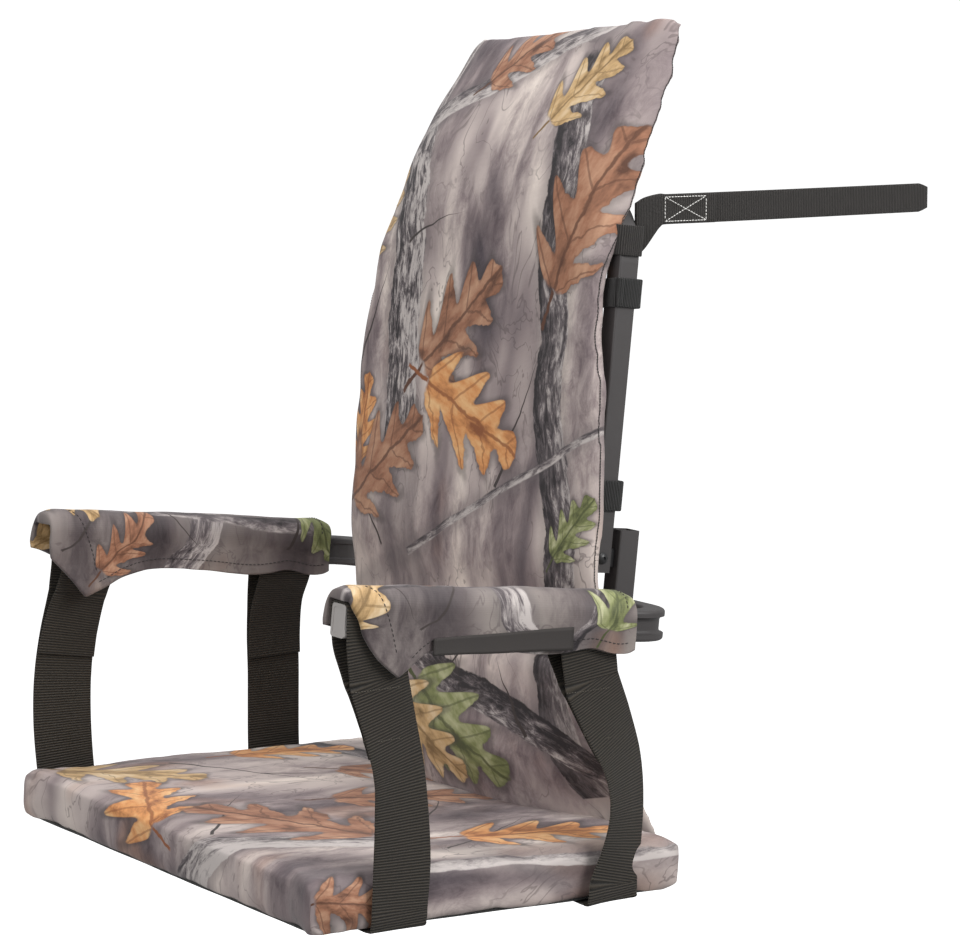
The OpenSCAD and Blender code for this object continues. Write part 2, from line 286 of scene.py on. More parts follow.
def ripple(points, scale, seed):
    """Smooth noise from -1 to 1 at points, at scale waves a metre on each axis."""
    shift = Vector((seed * 3.7, seed * 1.3, seed * 2.1))
    return np.array([noise.noise(Vector(p * scale) + shift) for p in points])


def crease(obj, places, scale, depth, seed, share=1.0):
    """Pushes a pad's surface along its normals by stretched noise. share scales the depth at each point."""
    height = ripple(places, np.array(scale), seed)
    height = np.where(height > 0, height, height * 1.6) * depth * share
    set_coords(obj, coords(obj) + normals(obj) * height[:, None])


# ---- shader graphs ----


class Value:
    """A number in a material's graph. Arithmetic on it adds Math nodes."""

    def __init__(self, graph, socket):
        self.graph, self.socket = graph, socket

    def __add__(self, other):
        return self.graph.math("ADD", self, other)

    def __radd__(self, other):
        return self.graph.math("ADD", other, self)

    def __sub__(self, other):
        return self.graph.math("SUBTRACT", self, other)

    def __rsub__(self, other):
        return self.graph.math("SUBTRACT", other, self)

    def __mul__(self, other):
        return self.graph.math("MULTIPLY", self, other)

    def __pow__(self, other):
        return self.graph.math("POWER", self, other)

    def __abs__(self):
        return self.graph.math("ABSOLUTE", self)


class Graph:
    """Short calls that build one material's nodes."""

    def __init__(self, name, roughness, metallic=0.0, sheen=0.0, specular=0.5):
        self.material = bpy.data.materials.new(name)
        self.material.use_nodes = True
        self.nodes = self.material.node_tree.nodes
        self.shader = self.nodes["Principled BSDF"]
        self.shader.inputs["Roughness"].default_value = roughness
        self.shader.inputs["Metallic"].default_value = metallic
        self.shader.inputs["Sheen Weight"].default_value = sheen
        self.shader.inputs["Specular IOR Level"].default_value = specular

    def feed(self, socket, value):
        if isinstance(value, Value):
            value = value.socket
        if isinstance(value, bpy.types.NodeSocket):
            self.material.node_tree.links.new(value, socket)
        elif value is not None:
            socket.default_value = value

    def node(self, kind, *values, **settings):
        made = self.nodes.new("ShaderNode" + kind)
        for key, value in settings.items():
            setattr(made, key, value)
        for socket, value in zip(made.inputs, values):
            self.feed(socket, value)
        return made

    def math(self, operation, *values):
        return Value(self, self.node("Math", *values, operation=operation).outputs[0])

    def cloth(self):
        """Place on the cloth, across and along, in metres."""
        uv = self.node("UVMap", uv_map="cloth").outputs[0]
        parts = self.node("SeparateXYZ", uv)
        return Value(self, parts.outputs[0]), Value(self, parts.outputs[1])

    def point(self, x, y, z=0.0):
        return self.node("CombineXYZ", x, y, z).outputs[0]

    def noise(self, place, scale, detail=2.0, rough=0.5, bend=0.0):
        made = self.node("TexNoise", place)
        made.inputs["Scale"].default_value = scale
        made.inputs["Detail"].default_value = detail
        made.inputs["Roughness"].default_value = rough
        made.inputs["Distortion"].default_value = bend
        return Value(self, made.outputs[0])

    def step(self, value, low, high):
        """0 up to low, 1 from high on, smoothly between them."""
        made = self.node("MapRange", value, low, high, 0.0, 1.0, interpolation_type="SMOOTHSTEP")
        return Value(self, made.outputs[0])

    def between(self, value, low, full_from, full_to, high):
        """1 from full_from to full_to, falling to 0 at low and at high."""
        return self.step(value, low, full_from) * (1 - self.step(value, full_to, high))

    def ramp(self, value, *stops):
        made = self.node("ValToRGB", value)
        elements = made.color_ramp.elements
        while len(elements) < len(stops):
            elements.new(0.5)
        for element, (place, colour) in zip(elements, stops):
            element.position = place
            element.color = (*colour, 1)
        return made.outputs[0]

    def mix(self, factor, a, b, blend="MIX"):
        made = self.nodes.new("ShaderNodeMix")
        made.data_type = "RGBA"
        made.blend_type = blend
        for index, value in ((0, factor), (6, a), (7, b)):
            if isinstance(value, tuple):
                value = (*value, 1)
            self.feed(made.inputs[index], value)
        return made.outputs[2]

    def bump(self, height, distance, strength):
        made = self.node("Bump")
        self.feed(made.inputs["Height"], height)
        made.inputs["Distance"].default_value = distance
        made.inputs["Strength"].default_value = strength
        return made.outputs[0]

    def surface(self, colour, roughness=None, normal=None):
        if isinstance(colour, tuple):
            colour = (*colour, 1)
        self.feed(self.shader.inputs["Base Color"], colour)
        self.feed(self.shader.inputs["Roughness"], roughness)
        self.feed(self.shader.inputs["Normal"], normal)
        return self.material


# ---- camouflage print ----

# Blurred wood behind the print, from dark to light: place on the ramp and colour.
WOOD_TONES = [
    (0.32, (0.075, 0.058, 0.068)),
    (0.43, (0.23, 0.185, 0.185)),
    (0.52, (0.42, 0.355, 0.335)),
    (0.66, (0.66, 0.58, 0.52)),
]
BARK_DARK, BARK_MID, BARK_LIGHT = (0.022, 0.018, 0.02), (0.12, 0.1, 0.105), (0.52, 0.47, 0.45)
LEAF_TONES = {
    "brown": ((0.1, 0.04, 0.022), (0.33, 0.15, 0.085), (0.52, 0.3, 0.19)),
    "orange": ((0.26, 0.085, 0.028), (0.68, 0.3, 0.105), (0.85, 0.54, 0.26)),
    "ochre": ((0.2, 0.12, 0.045), (0.55, 0.36, 0.17), (0.72, 0.56, 0.36)),
    "green": ((0.07, 0.08, 0.03), (0.22, 0.24, 0.095), (0.5, 0.5, 0.3)),
}
# A leaf's lobes along each side and its width, both against its length.
LEAF_LOBES, LEAF_WIDTH = 3.5, 0.62
CLOTH_YARN = 1.1 * MM


def along_and_across(u, v, start, end):
    """Place against a line on the cloth: 0 to 1 along it, and across it as a share of its length."""
    du, dv = end[0] - start[0], end[1] - start[1]
    square = du * du + dv * dv
    x, y = u - start[0], v - start[1]
    along = x * (du / square) + y * (dv / square)
    across = x * (-dv / square) + y * (du / square)
    return along, across


def leaf(g, u, v, wobble, colour, start, end, tone):
    """A lobed leaf from its stalk at start to its tip at end, with veins and a soft shadow round it."""
    s, t = along_and_across(u, v, start, end)
    s = s + wobble * 0.1
    off = abs(t + wobble * 0.07)
    wave = g.math("COSINE", (s - off * 0.9) * (2 * math.pi * LEAF_LOBES))
    body = g.math("SINE", g.math("MAXIMUM", s, 0.0) ** 0.75 * math.pi)
    body = g.math("MAXIMUM", body, 0.0) ** 0.55 * (LEAF_WIDTH / 2)
    edge = body * (0.66 + wave * 0.34)
    inside = g.between(s, 0.0, 0.04, 0.97, 1.02)
    gap = edge - off
    shade = g.step(gap, -0.1, 0.01) * inside * 0.55
    mask = g.step(gap, 0.0, 0.012) * inside
    low, middle, high = LEAF_TONES[tone]
    patch = g.noise(g.point(s * 1.3, t * 2.6, start[0] * 31), 3.2, 4, 0.6)
    fill = g.ramp(patch + off * 0.35, (0.34, low), (0.52, middle), (0.74, high))
    rib = 1 - g.step(off, 0.006, 0.016)
    veins = g.step(wave, 0.965, 0.995) * 0.55
    fill = g.mix(g.math("MAXIMUM", rib * 0.8, veins), fill, low)
    fill = g.mix((1 - g.step(gap, 0.0, 0.035)) * 0.45, fill, low)
    stalk = (1 - g.step(off, 0.008, 0.016)) * g.between(s, -0.22, -0.2, 0, 0.02)
    colour = g.mix(shade, colour, (0.045, 0.035, 0.035))
    colour = g.mix(mask, colour, fill)
    return g.mix(stalk, colour, low)


def bark(g, u, v, colour, start, end, width, contrast, light):
    """A trunk or a branch, rounded by shading and cut by furrows along it."""
    span = math.dist(start, end)
    s, t = along_and_across(u, v, start, end)
    sway = g.noise(g.point(s * span, start[0] * 9, 0.3), 7.0, 2)
    t = t * span + (sway - 0.5) * (width * 1.5)
    rough_edge = g.noise(g.point(s * span, t * 2.0, 0.9), 55.0, 3, 0.65)
    inside = (0.75 + rough_edge * 0.5) * (width / 2) - abs(t)
    mask = g.step(inside, 0.0, 0.0016) * g.between(s, 0.0, 0.01, 0.98, 1.0)
    furrow = g.noise(g.point(s * (span * 42), t * 160, start[1] * 7), 1.0, 6, 0.75, 0.6)
    scale = g.noise(g.point(s * (span * 60), t * 90, 4.0), 1.0, 3, 0.6)
    tone = furrow * 0.75 + scale * 0.25
    tone = (tone - 0.5) * contrast + (light - t * (0.22 / width))
    fill = g.ramp(tone, (0.32, BARK_DARK), (0.48, BARK_MID), (0.66, BARK_LIGHT))
    colour = g.mix(g.step(inside, -0.012, 0.0) * 0.35, colour, (0.1, 0.085, 0.09))
    return g.mix(mask, colour, fill)


def twig(g, u, v, colour, start, end, width):
    """A thin dark line that tapers and wanders."""
    span = math.dist(start, end)
    s, t = along_and_across(u, v, start, end)
    sway = g.noise(g.point(s * span, start[0] * 17, start[1] * 5), 22.0, 2)
    t = abs(t * span + (sway - 0.5) * 0.016)
    inside = (1.15 - s) * (width / 2) - t
    mask = g.step(inside, 0.0, 0.0007) * g.between(s, 0.0, 0.01, 0.98, 1.0)
    return g.mix(mask, colour, (0.045, 0.034, 0.032))


def camouflage(name, seed, trunks, leaves, twigs, shade, warm=0.0):
    """Printed cloth: a blurred wood in soft greys, then bark, twigs and leaves. shade scales the wood's tones,
    painted light and shade that makes the same cloth brighter or darker on each piece.
    """
    g = Graph(name, roughness=0.62, sheen=0.12, specular=0.35)
    u, v = g.cloth()
    blur = g.noise(g.point(u, v * 0.22, seed), 17.0, 2, 0.45, 0.6)
    patches = g.noise(g.point(u, v * 0.6, seed + 3.0), 9.0, 2, 0.5, 0.3)
    # painted light and shade: shade scales every wood tone, so the same cloth is brighter or darker on each
    # piece
    stops = [(place, tuple(part * shade for part in tone)) for place, tone in WOOD_TONES]
    colour = g.ramp(blur * 0.72 + patches * 0.28, *stops)
    rust = g.step(g.noise(g.point(u, v * 0.5, seed + 8.0), 11.0, 2), 0.6 - warm, 0.74 - warm)
    colour = g.mix(rust * 0.45, colour, (0.36, 0.17, 0.09))
    wobble = g.noise(g.point(u, v, seed), 48.0, 3, 0.55) - 0.5
    grit = g.noise(g.point(u, v * 0.42, seed + 5.0), 75.0, 6, 0.72, 0.5)
    gritty = g.step(patches, 0.62, 0.4)
    grit = g.ramp(grit, (0.34, (0.42, 0.38, 0.42)), (0.62, (1, 1, 1)))
    colour = g.mix(gritty, colour, grit, "MULTIPLY")
    ridge = abs(g.noise(g.point(u, v * 0.55, seed + 12.0), 26.0, 3, 0.6, 0.8) - 0.5)
    thicket = (1 - g.step(ridge, 0.004, 0.016)) * g.step(patches, 0.42, 0.56)
    colour = g.mix(thicket * 0.5, colour, (0.1, 0.075, 0.075))
    for trunk in trunks:
        colour = bark(g, u, v, colour, *trunk)
    for branch in twigs:
        colour = twig(g, u, v, colour, *branch)
    for lying in leaves:
        colour = leaf(g, u, v, wobble, colour, *lying)
    threads = 2 * math.pi / CLOTH_YARN
    weave = g.math("SINE", u * threads) + g.math("SINE", v * threads)
    soft = g.noise(g.point(u, v, seed), 90.0, 3, 0.6)
    return g.surface(colour, 0.55 + soft * 0.16, g.bump(weave * 0.05 + soft, 0.7 * MM, 0.55))


# ---- other materials ----


def webbing(name, dark, light, rib, sheen=0.12):
    """Woven tape: ribs across it, and a fine zigzag of yarns along each rib. Its colour follows that relief,
    with painted shade darkening the grooves.
    """
    g = Graph(name, roughness=0.62, sheen=sheen, specular=0.4)
    u, v = g.cloth()
    drift = (g.noise(g.point(u, v), 55.0, 2) - 0.5) * (0.5 * MM)
    ribs = g.math("SINE", (v + drift) * (2 * math.pi / rib)) * 0.5 + 0.5
    yarn = g.math("SINE", (u + v * 0.5) * (2 * math.pi / (1.1 * MM))) * 0.5 + 0.5
    worn = g.noise(g.point(u, v, 2.0), 120.0, 4, 0.7)
    height = ribs + yarn * 0.28
    # painted shade: the colour follows the rib and yarn height, so the grooves between ribs are darker; worn
    # adds random tone
    colour = g.ramp(height * 0.62 + worn * 0.3, (0.2, dark), (0.85, light))
    return g.surface(colour, 0.5 + worn * 0.25, g.bump(height, 0.8 * MM, 1.0))


def coated(name, colour, roughness, grain, metallic=0.0, wear=0.15):
    """Painted or moulded surface with a fine grain and slightly uneven gloss."""
    g = Graph(name, roughness=roughness, metallic=metallic)
    place = g.node("TexCoord").outputs["Object"]
    fine = g.noise(place, grain, 3, 0.6)
    broad = g.noise(place, 22.0, 3, 0.55)
    low = tuple(c * (1 - wear) for c in colour)
    high = tuple(min(1, c * (1 + wear)) for c in colour)
    fill = g.mix(broad * 0.7 + fine * 0.3, low, high)
    return g.surface(fill, roughness - 0.07 + broad * 0.16, g.bump(fine, 0.35 * MM, 0.35))


# ---- camera and tree strap come first ----


def camera():
    """The photograph's viewing angle: a long lens, from the sitter's left and a little above."""
    data = bpy.data.cameras.new("camera")
    data.lens, data.sensor_width = 135, 36
    data.clip_end = 10000
    cam = bpy.data.objects.new("camera", data)
    cam.location = (2.57196, -1.71382, 0.50525)
    turn, down = math.radians(56.9), math.radians(7.4)
    look = Vector((-math.sin(turn) * math.cos(down), math.cos(turn) * math.cos(down), -math.sin(down)))
    cam.rotation_mode = "QUATERNION"
    cam.rotation_quaternion = look.to_track_quat("-Z", "Y")
    bpy.context.scene.collection.objects.link(cam)
    bpy.context.scene.camera = cam


# The tree strap's route seen from above, as in the CAD source.
TREE_ROUTE = [(0.164, 0.04), (0.162, 0.09), (0.158, 0.15), (0.153, 0.21), (0.147, 0.275), (0.141, 0.338)]
TAIL_Z = 0.334


def tree_strap(material):
    """The free end of the strap that goes round the tree, on edge and nearly straight."""
    route = [(x, y, TAIL_Z) for x, y in TREE_ROUTE]
    line = smooth(route, 60)
    rows = len(line)
    end_round = np.sqrt(np.clip(1 - np.clip((np.arange(rows) - rows + 3) / 2.2, 0, 1) ** 2, 0.55, 1))
    along = unit(np.gradient(line, axis=0))
    up = unit(np.array([0, 0, 1.0]) - along * along[:, 2:])
    thick = np.cross(along, up) * TREE_STRAP_T / 2
    piece = tube_along("tree_strap_tail", line, up * (TREE_STRAP_W / 2 * end_round)[:, None], thick, 0.06)
    piece.data.materials.append(material)
    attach(piece, "back")
    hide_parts("tree_strap")


# ---- stitches ----


def stitches(name, target, points, material, pitch=4.2 * MM, long=2.9 * MM, thick=0.45 * MM):
    """A row of sewn stitches laid on target's surface along points."""
    lift = 0.1 * MM
    mesh = target.data
    tree = BVHTree.FromPolygons([v.co for v in mesh.vertices], [tuple(p.vertices) for p in mesh.polygons])
    dense = smooth(points, max(8, int(lengths(np.array(points, float))[-1] / (pitch / 4)) + 1))
    run = lengths(dense)
    verts, faces = [], []
    sides = 6
    for number in range(int(run[-1] / pitch)):
        here = number * pitch + (pitch - long) / 2
        ends = [np.array([np.interp(here + long * k, run, dense[:, c]) for c in range(3)]) for k in (0, 0.5, 1)]
        ridge = []
        for place, rise in zip(ends, (-0.3, 0.45, -0.3)):
            spot, normal, _, _ = tree.find_nearest(Vector(place))
            ridge.append(np.array(spot + normal * (lift + thick * rise)))
        way = ridge[2] - ridge[0]
        way /= max(np.linalg.norm(way), 1e-9)
        out = np.array(normal)
        side = np.cross(way, out)
        side /= max(np.linalg.norm(side), 1e-9)
        start = len(verts)
        for place, swell in zip(ridge, (0.6, 1.0, 0.6)):
            for k in range(sides):
                a = 2 * math.pi * k / sides
                verts.append(place + (side * math.cos(a) + out * math.sin(a)) * thick * swell)
        for r in range(2):
            for k in range(sides):
                a, b = start + r * sides + k, start + r * sides + (k + 1) % sides
                faces.append((a, b, b + sides, a + sides))
        faces.append(tuple(range(start, start + sides))[::-1])
        faces.append(tuple(range(start + 2 * sides, start + 3 * sides)))
    seam = make(name, verts, faces)
    seam.data.materials.append(material)
    return seam


# ---- seat cushion ----


def on_seat(points):
    """From the cushion's own frame, with its top's middle at the origin, to the part's frame."""
    x, y, z = np.moveaxis(np.asarray(points, float), -1, 0)
    c, s = math.cos(SEAT_TILT), math.sin(SEAT_TILT)
    return np.stack([x, SEAT_Y + y * c + z * s, SEAT_TOP - y * s + z * c], axis=-1)


def off_seat(points):
    """From the part's frame to the cushion's own."""
    x, y, z = (points - np.array([0, SEAT_Y, SEAT_TOP])).T
    c, s = math.cos(SEAT_TILT), math.sin(SEAT_TILT)
    return np.stack([x, y * c - z * s, y * s + z * c], axis=1)


def rounded_plan(u, v, half_x, half_y, radius):
    """Maps a square from -1 to 1 on to a rectangle with round corners."""
    x, y = u * half_x, v * half_y
    dx = np.clip(np.abs(x) - (half_x - radius), 0, radius)
    dy = np.clip(np.abs(y) - (half_y - radius), 0, radius)
    reach = np.hypot(dx, dy)
    shrink = np.where(reach > 0, np.maximum(dx, dy) / np.maximum(reach, 1e-9), 1)
    x = np.sign(x) * np.where(dx > 0, half_x - radius + dx * np.where(dy > 0, shrink, 1), np.abs(x))
    y = np.sign(y) * np.where(dy > 0, half_y - radius + dy * np.where(dx > 0, shrink, 1), np.abs(y))
    return x, y


def seat_cushion(material):
    """The cushion, which stands a little past the CAD cover on every side."""
    spare = 1.5 * MM
    u, v = np.meshgrid(np.linspace(-1, 1, 96), np.linspace(-1, 1, 70))
    x, y = rounded_plan(u, v, SEAT_W / 2 + spare, SEAT_D / 2 + spare, 0.007)
    dome = (1 - np.abs(u) ** 3) * (1 - np.abs(v) ** 3)
    top = on_seat(np.stack([x, y, -5.5 * MM + 3.0 * MM * dome], axis=-1))
    bottom = on_seat(np.stack([x, y, np.full_like(x, -SEAT_T + 3 * MM)], axis=-1))
    cushion = puff(shell("seat_cushion", top, bottom), cap=5.5 * MM)
    refine(cushion)
    local = off_seat(coords(cushion))
    half = np.array([SEAT_W / 2, SEAT_D / 2])
    side = eased((np.abs(local[:, :2]) / half).max(axis=1), 0.9, 0.99)
    crease(cushion, local, (26, 26, 14), 1.1 * MM, 3, 0.35 + 0.65 * side)
    crease(cushion, local, (7, 9, 5), 2.2 * MM, 5, 1 - 0.6 * side)
    crease(cushion, local, (70, 70, 22), 0.5 * MM, 8, side)
    local = off_seat(coords(cushion))
    keep_above = np.maximum(local[:, 2], -SEAT_T + 0.6 * MM)
    set_coords(cushion, on_seat(np.column_stack([local[:, :2], np.minimum(keep_above, 4 * MM)])))
    drop = np.maximum(0, -6 * MM - local[:, 2])
    out = np.abs(local[:, :2]) / half
    past_x = out[:, 0] > out[:, 1]
    sideways = np.stack([past_x, ~past_x], axis=1)
    set_uv(cushion, local[:, :2] + np.sign(local[:, :2]) * sideways * drop[:, None])
    cushion.data.materials.append(material)
    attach(cushion, "seat")
    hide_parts("seat_cover", "seat_foam")


def seat_base(material):
    """The black cloth sewn under the cushion, which shows as a dark band round its lower edge."""
    u, v = np.meshgrid(np.linspace(-1, 1, 60), np.linspace(-1, 1, 44))
    x, y = rounded_plan(u, v, SEAT_W / 2 - 7 * MM, SEAT_D / 2 - 7 * MM, 0.012)
    wave = ripple(np.stack([x, y, x * 0], axis=-1).reshape(-1, 3), np.array((18, 18, 1)), 4).reshape(x.shape)
    low = -SEAT_T + 0.6 * MM + 0.5 * MM * wave
    top, bottom = (on_seat(np.stack([x, y, low + rise], axis=-1)) for rise in (2.6 * MM, -0.6 * MM))
    base = shell("seat_base_cloth", top, bottom)
    refine(base)
    set_uv(base, off_seat(coords(base))[:, :2])
    base.data.materials.append(material)
    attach(base, "seat")
    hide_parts("seat_base_panel")


# ---- back pads ----

# Middle of the back's padding seen from the side, in the rail frame, from the seat to the top.
TOP_H = 0.484
BACK_PATH = [
    (0.041, -0.194), (0.02, -0.163), (-0.014, -0.117), (-0.033, -0.064), (-0.047, -0.008), (-0.058, 0.035),
    (-0.06, 0.08), (-0.06, 0.18), (-0.06, 0.27), (-0.0585, 0.336), (-0.039, 0.402), (0.004, TOP_H),
]
BACK_LINE = smooth(BACK_PATH, 400)
BACK_RUN = lengths(BACK_LINE)
BACK_RUN -= np.interp(-0.163, BACK_LINE[:, 1], BACK_RUN)
# Half width of the back's padding against height in the rail frame.
BACK_HALF_WIDTH = [
    (-0.17, 0.196), (0.1, 0.196), (0.18, 0.194), (0.236, 0.181), (0.29, 0.177), (0.35, 0.173),
    (0.405, 0.167), (0.44, 0.161), (0.468, 0.155), (TOP_H, 0.149),
]
# How far the padding's side edges lie behind its middle, against height.
EDGE_SETBACK = [
    (-0.17, 0.004), (0.01, 0.008), (0.08, 0.009), (0.179, 0.001), (0.228, -0.003), (0.28, 0.003),
    (0.333, 0.027), (0.385, 0.029), (0.437, 0.026), (TOP_H, 0.012),
]
# How far the middle of the lower padding bellies forward over the cushion, against height.
BELLY = [
    (-0.194, 0.068), (-0.163, 0.06), (-0.14, 0.05), (-0.117, 0.036), (-0.08, 0.017), (-0.041, 0.004), (0, 0),
]
# Height where the upper pad gives way to the lower one, and how far each runs past it.
SPLIT_H, LAP = -0.04, 4 * MM


def table(rows, x):
    """Reads a table of pairs at x."""
    return np.interp(x, *np.array(rows).T)


def slouch(u, h):
    """How far the top of the back leans over, with u from -1 to 1 across it."""
    return 0.012 * u * eased(h, 0.36, TOP_H)


def back_grid(low_h, high_h, rows, cols, thick, edge_thick):
    """Front and back grids of the back's padding between two heights, in the rail frame."""
    run = np.linspace(*np.interp([low_h, high_h], BACK_LINE[:, 1], BACK_RUN), rows)
    y, h = (np.interp(run, BACK_RUN, BACK_LINE[:, k]) for k in (0, 1))
    slope = unit(np.stack([np.gradient(y, run), np.gradient(h, run)], axis=1))
    forward = np.stack([-slope[:, 1], slope[:, 0]], axis=1)
    u = np.linspace(-1, 1, cols)
    half = table(BACK_HALF_WIDTH, h)
    x = half[:, None] * u[None, :]
    edge = np.abs(u)[None, :] ** 5
    lean = table(EDGE_SETBACK, h)[:, None] * edge
    t = (thick + (edge_thick - thick) * np.abs(u)[None, :] ** 4) * np.ones((rows, 1)) / 2
    ends = np.minimum(eased(np.arange(rows), -1, 4), eased(rows - 1 - np.arange(rows), -1, 4))[:, None]
    t *= 0.6 + 0.4 * ends
    mid_y = y[:, None] + lean - table(BELLY, h)[:, None] * (1 - u[None, :] ** 2) ** 1.1
    mid_h = h[:, None] + slouch(u[None, :], h[:, None])
    front = rail(x, mid_y + forward[:, :1] * t, mid_h + forward[:, 1:] * t)
    behind = rail(x, mid_y - forward[:, :1] * t, mid_h - forward[:, 1:] * t)
    return front, behind


def off_rail(points):
    """From the part's frame to the rail frame."""
    x, y, z = points.T
    c, s = math.cos(ARM_TILT), math.sin(ARM_TILT)
    return np.stack([x, y * c - z * s, y * s + z * c], axis=1)


def clear_of_hoop(points):
    """Keeps the padding in front of the hoop, its tube's shoulders included."""
    p = off_rail(points)
    shoulder = HOOP_BEND_R + TUBE / 2
    rise = np.clip(p[:, 2] - (HOOP_H - HOOP_BEND_R), 0, shoulder)
    reach = LEG_X - HOOP_BEND_R + np.sqrt(shoulder**2 - rise**2)
    level = (p[:, 2] > PIVOT_H - 14 * MM) & (p[:, 2] < HOOP_H + TUBE / 2 + 1.5 * MM)
    behind = (np.abs(p[:, 0]) < reach + 1 * MM) & level
    limit = LEG_Y - TUBE / 2 - 0.6 * MM
    p[:, 1] = np.where(behind, np.minimum(p[:, 1], limit), p[:, 1])
    return rail(*p.T)


def on_cushion(points):
    """Lets the padding's lower edge lie on the cushion instead of sinking into it."""
    p = off_seat(points)
    over = p[:, 1] < SEAT_D / 2 - 4 * MM
    surface = -0.8 * MM - 0.16 * np.maximum(0, p[:, 1] - 0.125)
    p[:, 2] = np.where(over, np.maximum(p[:, 2], surface), p[:, 2])
    return on_seat(p)


def cloth_place(points):
    """Where a point of the back's padding lies on its cloth: across, and along the path."""
    x, y, h = off_rail(points).T
    along = np.interp(h, BACK_LINE[:, 1], BACK_RUN)
    middle = np.interp(h, BACK_LINE[:, 1], BACK_LINE[:, 0]) + table(EDGE_SETBACK, h)
    at_side = np.abs(x) > table(BACK_HALF_WIDTH, h) - 12 * MM
    depth = np.clip(y - middle + 8 * MM, 0, 30 * MM) * at_side
    return np.stack([x + np.sign(x) * depth, along], axis=1)


def back_pad(name, material, grids, cap, folds, seed):
    """Puffs and creases one pad of the back. cap limits the puffing and folds is its large folds' depth."""
    pad = puff(shell(name, *grids), cap=cap)
    p = off_rail(coords(pad))
    calm(pad, eased(np.abs(p[:, 0]) / table(BACK_HALF_WIDTH, p[:, 2]), 0.88, 0.97), 14)
    refine(pad)
    p = off_rail(coords(pad))
    rim = eased(np.abs(p[:, 0]) / table(BACK_HALF_WIDTH, p[:, 2]), 0.86, 0.99)
    crease(pad, p, (9, 9, 11), folds, seed, 1 - 0.5 * rim)
    crease(pad, p, (16, 20, 34), 1.0 * MM, seed + 2, 0.45 - 0.1 * rim)
    crease(pad, p, (40, 40, 60), 0.25 * MM, seed + 5, rim)
    for settle in (clear_of_hoop, on_cushion):
        set_coords(pad, settle(coords(pad)))
    set_uv(pad, cloth_place(coords(pad)))
    pad.data.materials.append(material)
    return pad


def upper_back_pad(material):
    grids = back_grid(SPLIT_H - LAP, TOP_H, 110, 84, 15 * MM, 9 * MM)
    pad = back_pad("back_pad", material, grids, 4 * MM, 1.6 * MM, 11)
    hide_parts("back_pad_cover", "back_pad_foam", "back_pad_panel")
    tuple(rail(0, -0.055, 0.005))
    tuple(rail(0, -0.055, 0.085))
    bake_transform(pad)
    return pad


def back_seams(pad, material):
    """A dark seam along each side of the back pad's front edge."""
    h = np.linspace(0.0, 0.47, 60)
    y = np.interp(h, BACK_LINE[:, 1], BACK_LINE[:, 0]) + table(EDGE_SETBACK, h) - 5 * MM
    for where, side in SIDES:
        row = rail(side * (table(BACK_HALF_WIDTH, h) - 1.5 * MM), y, h + slouch(side, h))
        seam = stitches(f"back_seam_{where}", pad, row, material, 2.4 * MM, 2.5 * MM, 0.55 * MM)
        tuple(rail(0, -0.055, 0.005))
        tuple(rail(0, -0.055, 0.085))
        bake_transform(seam)


def lower_back_pad(material):
    grids = back_grid(-0.187, SPLIT_H + LAP, 48, 84, 16 * MM, 9 * MM)
    pad = back_pad("lumbar_pad", material, grids, 6 * MM, 3.2 * MM, 17)
    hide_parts("lumbar_cover", "lumbar_foam", "lumbar_panel")
    return pad


# ---- arm pads ----

# Outline of each arm pad's flaps in the rail frame, as distance along the arm and height: down the
# front rim from the top, then back along the lower edge. The first of each pair faces +X, the second -X.
LOWER_EDGE = [
    (-0.19, -0.0195), (-0.142, -0.0225), (-0.118, -0.021), (-0.098, -0.018), (-0.076, -0.0215),
    (-0.062, -0.021), (-0.053, -0.017),
]
FLAPS = {
    "left": (
        ([(0.03, -0.328), (0.016, -0.323), (0.005, -0.3165), (-0.01, -0.311), (-0.02, -0.304), (-0.03, -0.295),
          (-0.043, -0.277)],
         [(-0.277, -0.043), (-0.268, -0.036), (-0.258, -0.027), (-0.243, -0.0205)]),
        ([(0.03, -0.328), (0.000, -0.3285), (-0.004, -0.328)],
         [(-0.328, -0.004), (-0.315, -0.009), (-0.29, -0.02), (-0.24, -0.0205)]),
    ),
    "right": (
        ([(0.03, -0.34), (0, -0.339), (-0.013, -0.337), (-0.024, -0.324), (-0.035, -0.312),
          (-0.046, -0.301)],
         [(-0.301, -0.046), (-0.284, -0.0375), (-0.266, -0.028), (-0.238, -0.0205)]),
        ([(0.03, -0.341), (0.000, -0.342), (-0.006, -0.341)],
         [(-0.341, -0.006), (-0.322, -0.012), (-0.296, -0.022), (-0.24, -0.0205)]),
    ),
}
PAD_REAR = -0.0545
# Half of the pad's outer section, from the middle of its top to the flap: across and up.
PAD_SECTION = [
    (0.0, 0.0288), (0.007, 0.0281), (0.0135, 0.0245), (0.0178, 0.016), (0.0187, 0.004), (0.018, -0.018),
]


